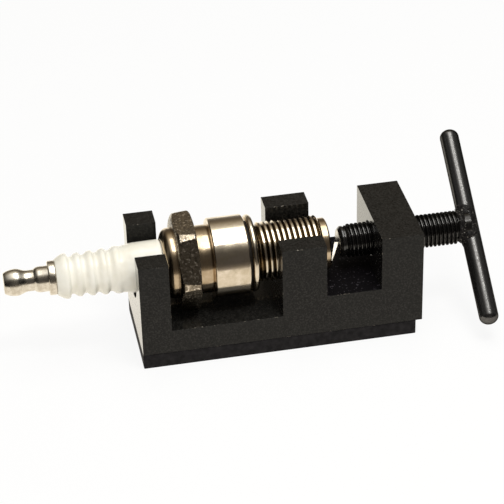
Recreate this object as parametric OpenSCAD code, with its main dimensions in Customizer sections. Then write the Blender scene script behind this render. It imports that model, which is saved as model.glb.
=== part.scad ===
// Spark plug gap tool with a 14 mm plug lying in it.
// +X runs along the block from the plug's terminal to the T-bar, -Y is the front, +Z is up.
// The origin is the middle of the block's footprint, on the underside of the base strip.

/* [Block] */
// Thickness of the slotted post that the plug's shoulder pushes against
post_t = 7; // [5:0.5:12]
// Room left in the pocket past the plug's gasket
pocket_spare = 4.4; // [2:0.2:10]
// Thickness of the middle rest that the plug's thread lies in
rest_t = 10.5; // [6:0.5:13]
// Length of the window where the gap is worked
window_l = 13; // [12:0.5:20]
// Thickness of the head that the screw is tapped through
head_t = 9.9; // [8:0.1:20]
// Depth of the block, front to back
block_w = 25; // [24:0.5:40]
// Web under the plug pocket
pocket_web = 6; // [4:0.5:12]
// Clearance between the end of the plug's shell and the window's floor
window_clear = 0.25; // [0.15:0.05:2]
// Height of metal above the screw's axis
top_over = 7.2; // [5.5:0.1:12]
// Width of the slot in the post, with a round bottom on the plug's axis
post_slot_w = 14; // [12:0.5:16]
// Chamfer broken on the block's outer edges
block_edge = 0.3; // [0.1:0.1:1]

/* [Base strip] */
// Thickness of the strip under the block
strip_t = 3.8; // [2:0.2:6]
// How far the strip stops short of the block's right end
strip_short = 1.5; // [0:0.5:6]

/* [Pressure screw] */
// Outer diameter of the screw's thread
screw_d = 8; // [6:0.5:9]
// Pitch of the screw's thread
screw_pitch = 1; // [0.75:0.25:1.5]
// Length of the screw from the nose to the bar's near side
screw_l = 28.4; // [26:0.2:45]
// Length of plain shank between the thread and the bar
screw_plain_l = 1.6; // [1:0.2:3]
// Width of the countersink at both ends of the tapped hole
head_sink = 0.5; // [0.2:0.1:1]

/* [T-bar] */
// Diameter of the bar
bar_d = 4.6; // [3:0.2:7]
// Length of the bar
bar_l = 50; // [30:1:80]
// Length of the round at each end of the bar
bar_dome = 2; // [0.5:0.1:2.3]
// Angle of the bar from level at rest, its near end down
bar_tilt = 37; // [0:1:90]
// How far the weld stands out past the screw's surface
weld_out = 0.7; // [0.3:0.1:1.5]
// Length of screw that the weld covers
weld_l = 1.4; // [0.8:0.2:3]

/* [Pressure nose] */
// Diameter of the nose's disc
nose_d = 7.4; // [5:0.2:7.8]
// Thickness of the nose's disc
nose_t = 1.3; // [1:0.1:2.5]
// Chamfer round the nose's face
nose_chamfer = 0.7; // [0.2:0.1:1]
// Diameter of the nose's stem
stem_d = 3; // [2:0.2:4]
// Length of the nose's stem
stem_l = 4; // [3:0.5:8]
// Diameter of the stem's swaged end, which holds the nose in the screw
swage_d = 3.8; // [3.4:0.1:4.6]

/* [Plug shell] */
// Hexagon across its flats
hex_af = 20.8; // [19:0.1:21]
// Length of the hexagon
hex_l = 4.9; // [4:0.1:8]
// Diameter that the hexagon's corners are turned to, on the barrel side
hex_corner_d = 23.4; // [22.6:0.1:23.8]
// How much less the corners measure across on the terminal side
hex_corner_drop = 0.5; // [0.2:0.1:1]
// Diameter of the crimped collar
crimp_d = 16.6; // [16.2:0.1:18]
// Length of the crimped collar
crimp_l = 2.9; // [2.6:0.1:5]
// Diameter of the thin neck between hexagon and barrel
neck_d = 16; // [15.6:0.1:17]
// Length of the neck between hexagon and barrel
neck_l = 3.5; // [2:0.1:6]
// Diameter of the barrel
barrel_d = 18.8; // [17:0.1:20]
// Length of the barrel
barrel_l = 8.5; // [6:0.1:12]
// Width of the groove that parts the barrel from the seat flange
barrel_groove = 0.4; // [0.2:0.1:0.6]
// Diameter of the shell's bore round the insulator's body
shell_bore_d = 13.8; // [13.4:0.1:14.4]

/* [Plug thread] */
// Outer diameter of the plug's thread
thread_d = 14; // [13.8:0.1:14.2]
// Pitch of the plug's thread
thread_pitch = 1.25; // [1:0.25:1.5]
// Turns of thread
thread_turns = 12; // [8:1:12]
// Reach, from the seat to the end of the shell
reach = 19; // [18:0.1:22]
// Diameter of the plain end past the thread
pilot_d = 12.4; // [12:0.1:12.6]
// Bore through the threaded part
thread_bore_d = 9.6; // [9.2:0.1:10]
// Distance from the seat to the ledge that carries the insulator
ledge_down = 10.4; // [9:0.2:12]
// Bore of the ledge
ledge_bore_d = 7.4; // [7:0.1:7.8]

/* [Gasket] */
// Outer diameter of the gasket
gasket_d = 18.2; // [17:0.1:20]
// Thickness of the gasket
gasket_t = 1.5; // [1:0.1:2.2]

/* [Insulator] */
// Diameter of the insulator where it leaves the shell
ins_d = 11; // [10.4:0.1:11.4]
// Length of the insulator outside the shell
ins_out_l = 24.8; // [24:0.1:35]
// Diameter of the insulator's end face under the terminal
ins_end_d = 8.6; // [8.2:0.1:9.2]
// Diameter of the skirt's edge
skirt_d = 10.6; // [9.8:0.1:11.2]
// Length of the skirt
skirt_l = 2.6; // [2:0.1:3.4]
// Diameter of the rib next to the skirt
rib_first_d = 10.2; // [9.8:0.1:10.8]
// Diameter of the last rib
rib_last_d = 11.1; // [10:0.1:11.4]
// Number of ribs past the skirt
ribs = 4; // [3:1:5]
// Distance from rib to rib
rib_pitch = 2.95; // [2.4:0.05:3.2]
// Depth of the grooves between the ribs
rib_depth = 0.8; // [0.3:0.1:1]
// Diameter of the insulator past the last rib
ins_waist_d = 10.8; // [9.8:0.1:11.2]
// Diameter of the insulator at its foot, where it meets the shell's lip
ins_root_d = 11.8; // [11:0.1:12]
// Diameter of the insulator's body inside the shell
ins_body_d = 13.6; // [13:0.1:13.7]
// Diameter of the insulator inside the threaded part
ins_mid_d = 9.3; // [9:0.1:9.4]
// Diameter of the insulator's tip
ins_tip_d = 5; // [4.6:0.1:5.4]
// Bore for the stud, the seals and the resistor
core_bore_d = 3.8; // [3.2:0.1:4]

/* [Terminal] */
// Largest diameter of the terminal nut's head
cap_d = 6.3; // [6:0.1:6.5]
// Diameter of the terminal nut's neck
cap_neck_d = 4.9; // [4.6:0.1:5.2]
// Diameter of the terminal nut's collar, between neck and flange
cap_collar_d = 6; // [5.6:0.1:6.6]
// Diameter of the terminal nut's flange
cap_flange_d = 8; // [7.4:0.1:8.4]
// Length of the terminal nut
cap_l = 12; // [11:0.1:14]
// Length of the nut's snap head, down to its neck
cap_head_l = 5.1; // [4.4:0.1:5.6]
// Length of the nut's collar
cap_collar_l = 3.5; // [2.5:0.1:4]
// Metal at the nut's closed end
cap_end_t = 1.7; // [1:0.1:3]
// Thickness of the terminal nut's flange
cap_flange_t = 1.7; // [1:0.1:2.2]
// Diameter of the stud
stud_d = 3; // [2.6:0.1:3.1]
// Length of the stud's thick foot
stud_foot_l = 3; // [2:0.5:6]

/* [Electrodes] */
// Diameter of the centre electrode
centre_d = 2.5; // [2:0.1:2.8]
// How far the centre electrode stands past the shell
centre_out = 0.6; // [0.5:0.05:1.5]
// Spark gap
gap = 0.73; // [0.65:0.01:1.2]
// Width of the ground strap
strap_w = 2.6; // [2:0.1:3]
// Thickness of the ground strap
strap_t = 1; // [0.8:0.1:1.2]
// Inner radius of the ground strap's bend
strap_bend = 0.4; // [0.2:0.1:0.5]
// How far the ground strap leans out from square before the gap is closed
strap_lean = 12; // [0:1:14]
// How far the ground strap's free end passes the axis
strap_past = 0.6; // [0.4:0.1:2]

/* [Inner parts] */
// Wire diameter of the packing rings
ring_wire = 1.1; // [0.9:0.05:1.15]
// Length of packed talc
talc_l = 3.6; // [2.5:0.1:5]
// Length of the resistor
resistor_l = 7; // [4:0.5:8]
// Length of each glass seal
seal_l = 2; // [1:0.5:3]
// Thickness of the washer under the insulator's shoulder
washer_t = 0.5; // [0.3:0.1:0.8]
// Length of the insulator's body inside the shell
ins_body_l = 10.5; // [9:0.5:12]

/* [Fits] */
// Gap between parts that rest on each other and come apart
seat_gap = 0.05; // [0.02:0.01:0.1]
// Radial clearance between pieces fixed inside one another
fix_gap = 0.03; // [0.01:0.01:0.05]
// Radial running clearance of the screw and of the nose's stem
run_gap = 0.05; // [0.02:0.01:0.1]
// Radial clearance between the plug's thread and the rest's slot
slot_gap = 0.35; // [0.2:0.05:1]

/* [Hidden] */
$fn = 96;
cut = 1;

// Stations of the plug, from the shoulder that meets the post
hex_u = crimp_l;
neck_u = hex_u + hex_l;
barrel_u = neck_u + neck_l;
groove_u = barrel_u + barrel_l - barrel_groove;
seat_u = barrel_u + barrel_l + barrel_groove;
gasket_end_u = seat_u + gasket_t;
shell_end_u = seat_u + reach;
thread_runout = 0.4;
thread_end_u = gasket_end_u + thread_runout + thread_turns * thread_pitch;
lip_u = 0.8;
ring_upper_u = lip_u + ring_wire / 2;
talc_u = ring_upper_u + ring_wire / 2;
ring_lower_u = talc_u + talc_l + ring_wire / 2;
body_u = ring_lower_u + ring_wire / 2;
body_end_u = body_u + ins_body_l;
bore_step_gap = 0.63;
bore_step_u = body_end_u + bore_step_gap;
ledge_l = 2.4;
ledge_u = seat_u + ledge_down;
shoulder_u = ledge_u - washer_t;
ins_end_u = -ins_out_l;
cap_end_u = ins_end_u - cap_l;

// Stations along the block
pocket_l = seat_gap + gasket_end_u + pocket_spare;
block_l = post_t + pocket_l + rest_t + window_l + head_t;
x_left = -block_l / 2;
x_post = x_left + post_t;
x_rest = x_post + pocket_l;
x_window = x_rest + rest_t;
x_head = x_window + window_l;
x_right = x_left + block_l;
x_plug = x_post + seat_gap;

// Heights
axis_up = pocket_web + seat_gap + hex_af / 2;
axis_z = strip_t + axis_up;
block_h = axis_up + top_over;

window_web = axis_up - pilot_d / 2 - window_clear;

// Ground strap, its root on the middle of the shell's rim and its bend's centre in front of the axis
bend_out = strap_bend + strap_t;
bend_off = (thread_bore_d + pilot_d) / 4 + strap_t / 2 - bend_out;
bend_reach = bend_off + strap_bend * sin(strap_lean);
bend_x = x_plug + shell_end_u + centre_out + gap - strap_bend * cos(strap_lean)
    - (bend_reach - centre_d / 2) * tan(strap_lean);
strap_leg_l = (bend_reach + strap_past) / cos(strap_lean);
strap_out_x = bend_x + bend_out * cos(strap_lean) + strap_leg_l * sin(strap_lean);

// Screw, from the nose's face to the bar
x_face = strap_out_x + seat_gap;
x_screw = x_face + nose_t;
x_bar = x_screw + screw_l + bar_d / 2;
thread_form = 1.22;
screw_root_d = screw_d - thread_form * screw_pitch;
thread_root_d = thread_d - thread_form * thread_pitch;
screw_lead = 0.9;
screw_turns = floor((screw_l - screw_lead - screw_plain_l) / screw_pitch);
stem_end_gap = 0.4;
stem_bore_l = stem_l + stem_end_gap;
swage_l = 1.2;

// Centre of the plug
tip_u = shell_end_u + centre_out;
centre_head_l = 2;
centre_step = 0.5;
centre_shank_l = 4;
centre_head_u = ledge_u - centre_shank_l - centre_head_l;
seal_low_u = centre_head_u - seal_l;
resistor_u = seal_low_u - resistor_l;
seal_top_u = resistor_u - seal_l;
stud_end_gap = 0.3;
stud_start_u = cap_end_u + cap_end_t + stud_end_gap;
core_wall = 0.6;
core_d = centre_d - 2 * core_wall;
core_inset = 2;
core_tip_l = 3;
core_start_u = centre_head_u + centre_head_l + core_inset;
core_end_u = tip_u - core_tip_l;

// A turned solid on the plug's and screw's axis, from [radius, distance along the axis] points
module turned(x, points) {
    translate([x, 0, axis_z]) rotate([0, 90, 0]) rotate_extrude() polygon(points);
}

// A rod or ring on the axis
module rod(x, d, l) {
    translate([x, 0, axis_z]) rotate([0, 90, 0]) cylinder(d = d, h = l);
}

module tube(x, outer_d, inner_d, l) {
    difference() {
        rod(x, outer_d, l);
        rod(x - cut, inner_d, l + 2 * cut);
    }
}

// Outline of thread ridges as [radius, distance] points
function ridges(start, turns, pitch, root_d, crest_d) = [
    for (i = [0 : turns - 1]) each [
        [root_d / 2, start + (i + 0.06) * pitch],
        [crest_d / 2, start + (i + 0.44) * pitch],
        [crest_d / 2, start + (i + 0.56) * pitch],
        [root_d / 2, start + (i + 0.94) * pitch]
    ]
];

// A box whose twelve edges are all broken by the same chamfer
module broken_box(l, w, h, c) {
    intersection() {
        linear_extrude(h) chamfered(l, w, c);
        translate([0, w / 2, h / 2]) rotate([90, 0, 0]) linear_extrude(w) chamfered(l, h, c);
        translate([-l / 2, 0, h / 2]) rotate([90, 0, 90]) linear_extrude(l) chamfered(w, h, c);
    }
}

module chamfered(a, b, c) {
    polygon([
        [-a / 2 + c, -b / 2], [a / 2 - c, -b / 2], [a / 2, -b / 2 + c], [a / 2, b / 2 - c],
        [a / 2 - c, b / 2], [-a / 2 + c, b / 2], [-a / 2, b / 2 - c], [-a / 2, -b / 2 + c]
    ]);
}

// A slot open at the top, with a round bottom on the axis
module u_slot(x, l, w) {
    rod(x - cut, w, l + 2 * cut);
    translate([x - cut, -w / 2, axis_z]) cube([l + 2 * cut, w, top_over + cut]);
}

// An opening milled through the block from front to back
module milled(x, l, floor_up) {
    translate([x, -block_w / 2 - cut, strip_t + floor_up]) cube([l, block_w + 2 * cut, block_h]);
}

module block_body() {
    color([0.16, 0.15, 0.14]) difference() {
        translate([0, 0, strip_t]) broken_box(block_l, block_w, block_h, block_edge);
        u_slot(x_left, post_t, post_slot_w);
        milled(x_post, pocket_l, pocket_web);
        u_slot(x_rest, rest_t, thread_d + 2 * slot_gap);
        milled(x_window, window_l, window_web);
        rod(x_head - cut, screw_d + 2 * run_gap, head_t + 2 * cut);
        turned(x_head, [
            [0, -cut], [screw_d / 2 + run_gap + head_sink + cut, -cut], [screw_d / 2 + run_gap, head_sink],
            [0, head_sink]
        ]);
        turned(x_right, [
            [0, cut], [screw_d / 2 + run_gap + head_sink + cut, cut], [screw_d / 2 + run_gap, -head_sink],
            [0, -head_sink]
        ]);
    }
}

module base_strip() {
    color([0.11, 0.10, 0.11]) translate([x_left, -block_w / 2, 0])
        cube([block_l - strip_short, block_w, strip_t]);
}

module pressure_nose() {
    end_u = nose_t + stem_l;
    color([0.72, 0.70, 0.66]) turned(x_face, [
        [0, 0], [nose_d / 2 - nose_chamfer, 0], [nose_d / 2, nose_chamfer], [nose_d / 2, nose_t],
        [stem_d / 2, nose_t], [stem_d / 2, end_u - swage_l], [swage_d / 2, end_u - 0.7 * swage_l],
        [swage_d / 2, end_u - 0.3 * swage_l], [stem_d / 2, end_u], [0, end_u]
    ]);
}

module pressure_screw() {
    thread_u = screw_lead;
    plain_u = thread_u + screw_turns * screw_pitch;
    end_u = screw_l + bar_d / 2;
    stem_bore_r = stem_d / 2 + run_gap;
    swage_bore_r = swage_d / 2 + run_gap;
    color([0.10, 0.10, 0.10]) difference() {
        turned(x_screw, concat(
            [
                [0, stem_bore_l], [swage_bore_r, stem_bore_l], [swage_bore_r, stem_l - 0.7 * swage_l],
                [stem_bore_r, stem_l - swage_l - run_gap], [stem_bore_r, run_gap],
                [screw_root_d / 2, run_gap]
            ],
            ridges(thread_u, screw_turns, screw_pitch, screw_root_d, screw_d),
            [[screw_root_d / 2, plain_u], [screw_root_d / 2, end_u], [0, end_u]]
        ));
        bar_solid(0, cut);
    }
}

// The bar's place, grown by a gap and lengthened at both ends
module bar_solid(grow, longer) {
    translate([x_bar, 0, axis_z]) rotate([bar_tilt - 90, 0, 0])
        cylinder(d = bar_d + 2 * grow, h = bar_l + 2 * longer, center = true);
}

module t_bar() {
    steps = 6;
    straight = bar_l / 2 - bar_dome;
    upper = [
        for (i = [0 : steps]) let (a = 90 * i / steps) [bar_d / 2 * sin(a), straight + bar_dome * cos(a)]
    ];
    lower = [for (i = [steps : -1 : 0]) [upper[i][0], -upper[i][1]]];
    color([0.13, 0.13, 0.13]) translate([x_bar, 0, axis_z]) rotate([bar_tilt - 90, 0, 0])
        rotate_extrude() polygon(concat(upper, lower));
}

module weld_fillet() {
    start_u = screw_l - weld_l;
    foot_r = screw_root_d / 2 + fix_gap;
    top_r = screw_d / 2 + weld_out;
    color([0.12, 0.12, 0.12]) difference() {
        turned(x_screw, [
            [foot_r, start_u], [foot_r + 0.3 * weld_out, start_u + 0.1],
            [screw_d / 2, start_u + weld_l / 2], [top_r, screw_l + bar_d / 4],
            [top_r - 0.3 * weld_out, screw_l + bar_d / 2], [foot_r, screw_l + 0.6 * bar_d]
        ]);
        bar_solid(fix_gap, cut);
    }
}

// The hexagon, its corners turned down to a slow cone
module hexagon() {
    corner_r = hex_corner_d / 2;
    small_r = corner_r - hex_corner_drop / 2;
    intersection() {
        translate([x_plug + hex_u, 0, axis_z]) rotate([0, 90, 0]) rotate([0, 0, 30])
            cylinder(d = hex_af / cos(30), h = hex_l, $fn = 6);
        turned(x_plug + hex_u, [
            [0, 0], [hex_af / 2 - 0.4, 0], [small_r, 0.8], [corner_r, hex_l - 0.5],
            [hex_af / 2 - 0.2, hex_l], [0, hex_l]
        ]);
    }
}

// The shell's outline, turned in one go; the hexagon hides where collar and neck meet
module plug_shell() {
    lip_r = ins_d / 2 + fix_gap;
    bore_r = shell_bore_d / 2;
    crimp_r = crimp_d / 2;
    neck_r = neck_d / 2;
    barrel_r = barrel_d / 2;
    root_r = thread_root_d / 2;
    pilot_r = pilot_d / 2;
    low_r = thread_bore_d / 2;
    hex_mid_u = hex_u + hex_l / 2;
    inner_u = lip_u + cut;
    thread_u = gasket_end_u + thread_runout;
    color([0.72, 0.70, 0.64]) difference() {
        union() {
            hexagon();
            turned(x_plug, concat(
                [
                    [low_r - cut, inner_u], [lip_r, inner_u], [lip_r, 0.25], [lip_r + 0.35, 0],
                    [crimp_r - 1.7, 0.12], [crimp_r - 0.7, 0.55], [crimp_r - 0.15, 1.25], [crimp_r, 1.9],
                    [crimp_r, hex_mid_u], [neck_r - 0.15, hex_mid_u], [neck_r - 0.15, neck_u],
                    [neck_r, neck_u + neck_l * 0.3], [neck_r, neck_u + neck_l * 0.8],
                    [neck_r - 0.2, barrel_u], [barrel_r - 0.25, barrel_u], [barrel_r, barrel_u + 0.25],
                    [barrel_r, groove_u - 0.15], [barrel_r - 0.4, groove_u],
                    [barrel_r - 0.4, groove_u + barrel_groove], [barrel_r - 0.1, seat_u - 0.3],
                    [barrel_r - 0.3, seat_u], [root_r, seat_u]
                ],
                ridges(thread_u, thread_turns, thread_pitch, thread_root_d, thread_d),
                [
                    [pilot_r, thread_end_u + 0.1], [pilot_r, shell_end_u - 0.3],
                    [pilot_r - 0.3, shell_end_u], [low_r - cut, shell_end_u]
                ]
            ));
        }
        turned(x_plug, [
            [0, lip_u], [bore_r, lip_u], [bore_r, bore_step_u],
            [low_r, bore_step_u + (bore_r - low_r) * 0.7], [low_r, ledge_u], [ledge_bore_d / 2, ledge_u],
            [ledge_bore_d / 2, ledge_u + ledge_l], [low_r, ledge_u + ledge_l + 0.8],
            [low_r, shell_end_u + cut], [0, shell_end_u + cut]
        ]);
    }
}

module gasket() {
    inner = thread_root_d / 2 + fix_gap;
    outer = gasket_d / 2;
    color([0.66, 0.63, 0.56]) turned(x_plug + seat_u, [
        [inner, 0.3], [inner + 0.3, 0], [outer - 0.45, 0], [outer - 0.12, 0.2],
        [outer, gasket_t / 2], [outer - 0.12, gasket_t - 0.2], [outer - 0.45, gasket_t],
        [inner + 0.3, gasket_t], [inner, gasket_t - 0.3]
    ]);
}

// Outside of the ribs: a slow rise to each crest, then a quick drop into the next groove
rib_growth = (rib_last_d - rib_first_d) / 2 / (ribs - 1);
function rib_r(i) = i == 0 ? skirt_d / 2 : rib_first_d / 2 + rib_growth * (i - 1);
function groove_points(start) = [
    for (i = [0 : ribs - 1]) let (at = start + i * rib_pitch, here = rib_r(i), next = rib_r(i + 1)) each [
        [here, at],
        [here - 0.45 * rib_depth, at + 0.13 * rib_pitch],
        [next - 0.92 * rib_depth, at + 0.24 * rib_pitch],
        [next - rib_depth, at + 0.34 * rib_pitch],
        [next - 0.90 * rib_depth, at + 0.45 * rib_pitch],
        [next - 0.55 * rib_depth, at + 0.58 * rib_pitch],
        [next - 0.22 * rib_depth, at + 0.70 * rib_pitch],
        [next - 0.06 * rib_depth, at + 0.80 * rib_pitch],
        [next, at + 0.90 * rib_pitch]
    ]
];

module insulator() {
    skirt_u = ins_end_u + skirt_l;
    last_u = skirt_u + ribs * rib_pitch;
    collar_gap = 1;
    neck_r = ins_d / 2 - fix_gap;
    body_r = ins_body_d / 2;
    mid_r = ins_mid_d / 2;
    bore_r = core_bore_d / 2;
    foot_r = ledge_bore_d / 2 - fix_gap;
    foot_bore_r = centre_d / 2 + fix_gap;
    color([0.93, 0.92, 0.88]) turned(x_plug, concat(
        [
            [bore_r, ins_end_u], [ins_end_d / 2 - 0.2, ins_end_u], [ins_end_d / 2, ins_end_u + 0.2],
            [skirt_d / 2 - 0.1, skirt_u - 0.8]
        ],
        groove_points(skirt_u),
        [
            [rib_last_d / 2, last_u], [(rib_last_d + ins_waist_d) / 4, last_u + 0.35],
            [ins_waist_d / 2, last_u + 0.8], [ins_root_d / 2 - 0.05, last_u + 3.8],
            [ins_root_d / 2, -collar_gap], [ins_root_d / 2, -0.35], [neck_r, -0.1], [neck_r, body_u],
            [body_r - 0.3, body_u], [body_r, body_u + 0.3], [body_r, body_end_u - 1.5],
            [mid_r, body_end_u], [mid_r, shoulder_u], [foot_r, shoulder_u], [foot_r, ledge_u + 1],
            [ins_tip_d / 2, shell_end_u - 0.4], [ins_tip_d / 2 - 0.4, shell_end_u],
            [foot_bore_r, shell_end_u], [foot_bore_r, centre_head_u + centre_head_l],
            [bore_r, centre_head_u + centre_head_l - 0.4]
        ]
    ));
}

// The nut's outside runs from a blunt end over the snap head, the neck and the collar to the flange
module terminal_nut() {
    head_r = cap_d / 2;
    neck_r = cap_neck_d / 2;
    collar_r = cap_collar_d / 2;
    flange_r = cap_flange_d / 2;
    flange_u = cap_l - cap_flange_t;
    collar_u = flange_u - cap_collar_l;
    bore_r = stud_d / 2 + fix_gap;
    edge = 0.2;
    color([0.74, 0.71, 0.64]) turned(x_plug + cap_end_u, [
        [0, 0], [head_r - 0.9, 0], [head_r - 0.65, 0.05 * cap_head_l], [head_r - 0.3, 0.2 * cap_head_l],
        [head_r - 0.05, 0.39 * cap_head_l], [head_r, 0.53 * cap_head_l], [head_r - 0.1, 0.65 * cap_head_l],
        [head_r - 0.4, 0.8 * cap_head_l], [neck_r, cap_head_l], [neck_r, collar_u],
        [collar_r - 0.35, collar_u + 0.15], [collar_r, collar_u + 0.9], [collar_r, flange_u],
        [flange_r - edge, flange_u], [flange_r, flange_u + edge], [flange_r, cap_l - edge],
        [flange_r - edge, cap_l], [bore_r, cap_l], [bore_r, cap_end_t], [0, cap_end_t]
    ]);
}

module terminal_stud() {
    foot_r = core_bore_d / 2 - fix_gap;
    foot_u = seal_top_u - stud_foot_l;
    color([0.62, 0.61, 0.58]) turned(x_plug, [
        [0, stud_start_u], [stud_d / 2, stud_start_u], [stud_d / 2, foot_u], [foot_r, foot_u],
        [foot_r, seal_top_u], [0, seal_top_u]
    ]);
}

module packing_ring(u) {
    mid_r = (ins_d / 2 + shell_bore_d / 2) / 2;
    turned(x_plug + u, [
        for (a = [0 : 30 : 330]) [mid_r + (ring_wire / 2) * cos(a), (ring_wire / 2) * sin(a)]
    ]);
}

module packing_ring_upper() color([0.45, 0.44, 0.42]) packing_ring(ring_upper_u);

module packing_ring_lower() color([0.45, 0.44, 0.42]) packing_ring(ring_lower_u);

module talc_fill() {
    color([0.86, 0.85, 0.80])
        tube(x_plug + talc_u, shell_bore_d - 2 * fix_gap, ins_d, talc_l);
}

module seat_washer() {
    color([0.60, 0.42, 0.28])
        tube(x_plug + shoulder_u, thread_bore_d - 2 * fix_gap, ledge_bore_d, washer_t);
}

module glass_seal_upper() {
    color([0.30, 0.22, 0.18]) rod(x_plug + seal_top_u, core_bore_d - 2 * fix_gap, seal_l);
}

module resistor() {
    color([0.16, 0.16, 0.17]) rod(x_plug + resistor_u, core_bore_d - 2 * fix_gap, resistor_l);
}

module glass_seal_lower() {
    color([0.30, 0.22, 0.18]) rod(x_plug + seal_low_u, core_bore_d - 2 * fix_gap, seal_l);
}

module centre_electrode() {
    color([0.60, 0.58, 0.55]) difference() {
        union() {
            rod(x_plug + centre_head_u, core_bore_d - 4 * fix_gap, centre_head_l - centre_step);
            rod(x_plug + centre_head_u, centre_d, tip_u - centre_head_u);
        }
        rod(x_plug + core_start_u, core_d + 2 * fix_gap, core_end_u - core_start_u);
    }
}

module copper_core() {
    color([0.72, 0.40, 0.24]) rod(x_plug + core_start_u, core_d, core_end_u - core_start_u);
}

// A strap that leaves the shell's rim in front of the axis and bends back across it
module ground_electrode() {
    arc_steps = 8;
    leg = [strap_leg_l * sin(strap_lean), strap_leg_l * cos(strap_lean)];
    root_l = bend_x - (x_plug + shell_end_u);
    turns = [for (i = [0 : arc_steps]) 90 - (90 - strap_lean) * i / arc_steps];
    outer = [for (a = turns) [bend_out * cos(a), -bend_out * sin(a)]];
    inner = [for (a = turns) [strap_bend * cos(a), -strap_bend * sin(a)]];
    color([0.70, 0.68, 0.62]) translate([bend_x, -bend_off, axis_z - strap_w / 2])
        linear_extrude(strap_w) polygon(concat(
            [[-root_l, -bend_out]], outer, [outer[arc_steps] + leg, inner[arc_steps] + leg],
            [for (i = [arc_steps : -1 : 0]) inner[i]], [[-root_l, -strap_bend]]
        ));
}

block_body();
base_strip();
pressure_nose();
pressure_screw();
t_bar();
weld_fillet();
plug_shell();
gasket();
insulator();
terminal_nut();
terminal_stud();
packing_ring_upper();
packing_ring_lower();
talc_fill();
seat_washer();
glass_seal_upper();
resistor();
glass_seal_lower();
centre_electrode();
copper_core();
ground_electrode();
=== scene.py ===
"""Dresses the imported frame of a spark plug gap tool: every visible piece is modelled and finished here.

A section's stations and radii are in millimetres. The stations of the plug's shell and insulator run from the
shell's left end, those of the weld from the screw's left end and those of the bar from its middle. Nose, nut
and gasket are each measured from their own left end. +X, -Y and +Z are the tool's right, front and top.
"""

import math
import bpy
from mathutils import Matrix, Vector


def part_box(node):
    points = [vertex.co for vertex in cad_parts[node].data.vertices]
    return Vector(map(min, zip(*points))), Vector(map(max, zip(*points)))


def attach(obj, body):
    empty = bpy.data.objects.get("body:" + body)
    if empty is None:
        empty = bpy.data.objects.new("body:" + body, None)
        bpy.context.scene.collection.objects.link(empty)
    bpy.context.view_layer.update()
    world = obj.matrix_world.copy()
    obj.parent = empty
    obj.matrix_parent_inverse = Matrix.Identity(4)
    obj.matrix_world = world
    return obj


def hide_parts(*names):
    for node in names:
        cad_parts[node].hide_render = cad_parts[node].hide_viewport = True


bl_info = {
    "name": "Spark plug gap tool",
    "version": (1, 0, 0),
    "blender": (4, 5, 0),
    "location": "View3D > Sidebar > Gap tool",
    "description": "Models and finishes a spark plug gap tool round its packed frame",
    "category": "Add Mesh",
}

import bpy
from bpy.props import FloatProperty, FloatVectorProperty, PointerProperty
from bpy.types import Operator, Panel, PropertyGroup
from mathutils import Matrix, Vector, noise

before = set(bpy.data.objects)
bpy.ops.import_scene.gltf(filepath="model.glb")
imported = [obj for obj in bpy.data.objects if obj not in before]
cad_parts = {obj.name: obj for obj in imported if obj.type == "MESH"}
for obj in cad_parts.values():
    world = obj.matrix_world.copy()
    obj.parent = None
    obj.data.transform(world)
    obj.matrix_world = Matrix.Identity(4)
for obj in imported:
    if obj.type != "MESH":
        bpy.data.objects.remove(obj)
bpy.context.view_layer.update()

MM = 0.001
# Points that lie nearer than this are one point
NEAR = 1e-6
# Faces round a turned piece
STEPS = 96
# Noise values at which a mottled finish reaches its dark and its light end
DARK_AT, LIGHT_AT = 0.36, 0.64
# Black oxide hardly mirrors the pale floor at its edges
EDGE_TINT = (0.2, 0.2, 0.2, 1)
# Depth of a thread as a share of its pitch
THREAD_DEPTH = 0.61

block_low, block_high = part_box("block_body")
strip_low, strip_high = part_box("base_strip")
screw_low, screw_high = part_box("pressure_screw")
bar_low, bar_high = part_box("t_bar")

AXIS_Z = (screw_low.z + screw_high.z) / 2
PLUG_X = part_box("plug_shell")[0].x
NUT_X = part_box("terminal_nut")[0].x
GASKET_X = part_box("gasket")[0].x
NOSE_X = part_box("pressure_nose")[0].x
SCREW_X = screw_low.x
BAR_X = (bar_low.x + bar_high.x) / 2
BAR_TURN = math.radians(37)
ALONG_BAR = Vector((0, math.cos(BAR_TURN), math.sin(BAR_TURN)))
X_AXIS = Vector((1, 0, 0))
UP = Vector((0, 0, 1))
ACROSS_BAR = ALONG_BAR.cross(X_AXIS)


def linear(hex_colour):
    """Turns an sRGB hex value into the linear colour that a shader takes."""
    shares = [int(hex_colour[i:i + 2], 16) / 255 for i in (1, 3, 5)]
    return [s / 12.92 if s <= 0.04045 else ((s + 0.055) / 1.055) ** 2.4 for s in shares] + [1.0]


def length(name, description, millimetres):
    """A property that holds one size."""
    return FloatProperty(
        name=name, description=description, default=millimetres * MM, unit="LENGTH", precision=5
    )


def tint(name, description, hex_colour):
    """A property that holds one colour."""
    return FloatVectorProperty(
        name=name, description=description, default=linear(hex_colour), size=4, subtype="COLOR", min=0, max=1
    )


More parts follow.
